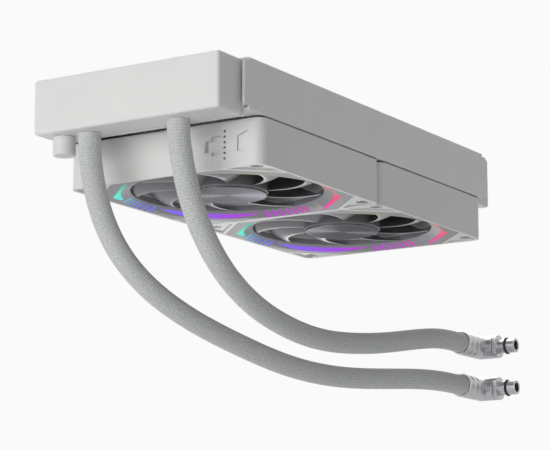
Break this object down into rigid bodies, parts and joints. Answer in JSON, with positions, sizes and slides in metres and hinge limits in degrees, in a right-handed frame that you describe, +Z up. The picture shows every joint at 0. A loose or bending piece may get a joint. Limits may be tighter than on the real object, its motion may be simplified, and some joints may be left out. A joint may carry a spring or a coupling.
{
  "type": "liquid cooling radiator",
  "caption": "Flat liquid cooling radiator with end tanks, a finned core, square lit fans under it and sleeved hoses that end in swivel elbow fittings.",
  "frame": {"origin": "centre of the top mounting face, between the tapped holes of the side rails", "axes": "+Z up, out of the mounting face; +Y from the hose tank to the rear tank; +X to the right seen from the hose end"},
  "size_m": [0.1226, 0.3168, 0.1465],
  "materials": {
    "white_paint": "satin white powder coat",
    "core_metal": "thin white coat over brazed aluminium",
    "fitting_metal": "satin nickel plate",
    "white_plastic": "fine moulded satin",
    "rubber": "matte",
    "hose_sleeve": "light grey woven sleeve",
    "screw_steel": "zinc plated",
    "light_diffuser": "milky, lit from behind",
    "circuit_board": "white solder mask",
    "blade_plastic": "smooth grey moulding",
    "spun_aluminium": "spun in fine rings",
    "ferrite": "ground",
    "bronze": "sintered",
    "copper": "enamelled wire",
    "contact_gold": "plated"
  },
  "bodies": {
    "radiator": {"front_tank": "white_paint", "rear_tank": "white_paint", "front_header": "white_paint", "rear_header": "white_paint", "left_rail": "white_paint", "right_rail": "white_paint", "core_tubes": "core_metal", "core_fins": "core_metal", "tank_divider": "core_metal", "filler_neck": "fitting_metal", "filler_cap": "white_plastic", "filler_seal": "rubber", "inlet_nipple": "fitting_metal", "outlet_nipple": "fitting_metal", "inlet_hose": "hose_sleeve", "outlet_hose": "hose_sleeve", "inlet_collar": "fitting_metal", "outlet_collar": "fitting_metal", "inlet_elbow": "fitting_metal", "outlet_elbow": "fitting_metal", "front_fan_frame": "white_plastic", "front_fan_pads": "rubber", "front_fan_bezel": "white_plastic", "front_fan_light_guide": "light_diffuser", "front_fan_light_board": "circuit_board", "front_fan_bearing": "bronze", "front_fan_stator": "screw_steel", "front_fan_windings": "copper", "front_fan_motor_board": "circuit_board", "front_fan_contacts": "contact_gold", "rear_fan_frame": "white_plastic", "rear_fan_pads": "rubber", "rear_fan_bezel": "white_plastic", "rear_fan_light_guide": "light_diffuser", "rear_fan_light_board": "circuit_board", "rear_fan_bearing": "bronze", "rear_fan_stator": "screw_steel", "rear_fan_windings": "copper", "rear_fan_motor_board": "circuit_board", "rear_fan_contacts": "contact_gold", "fan_link": "white_plastic", "fan_screws": "screw_steel"},
    "front_rotor": {"front_fan_rotor": "blade_plastic", "front_fan_hub_cap": "spun_aluminium", "front_fan_magnet": "ferrite", "front_fan_shaft": "screw_steel"},
    "rear_rotor": {"rear_fan_rotor": "blade_plastic", "rear_fan_hub_cap": "spun_aluminium", "rear_fan_magnet": "ferrite", "rear_fan_shaft": "screw_steel"},
    "inlet_swivel": {"inlet_spigot": "fitting_metal", "inlet_seal": "rubber"},
    "outlet_swivel": {"outlet_spigot": "fitting_metal", "outlet_seal": "rubber"}
  },
  "joints": [
    {"name": "front_fan_spin", "type": "hinge", "parent": "radiator", "child": "front_rotor", "pos_m": [0, -0.06, -0.045], "axis": [0, 0, 1], "continuous": true},
    {"name": "rear_fan_spin", "type": "hinge", "parent": "radiator", "child": "rear_rotor", "pos_m": [0, 0.06, -0.045], "axis": [0, 0, 1], "continuous": true},
    {"name": "inlet_swivel_turn", "type": "hinge", "parent": "radiator", "child": "inlet_swivel", "pos_m": [0.039, 0.156, -0.135], "axis": [1, 0, 0], "continuous": true},
    {"name": "outlet_swivel_turn", "type": "hinge", "parent": "radiator", "child": "outlet_swivel", "pos_m": [0.039, 0.156, -0.11], "axis": [1, 0, 0], "continuous": true}
  ]
}
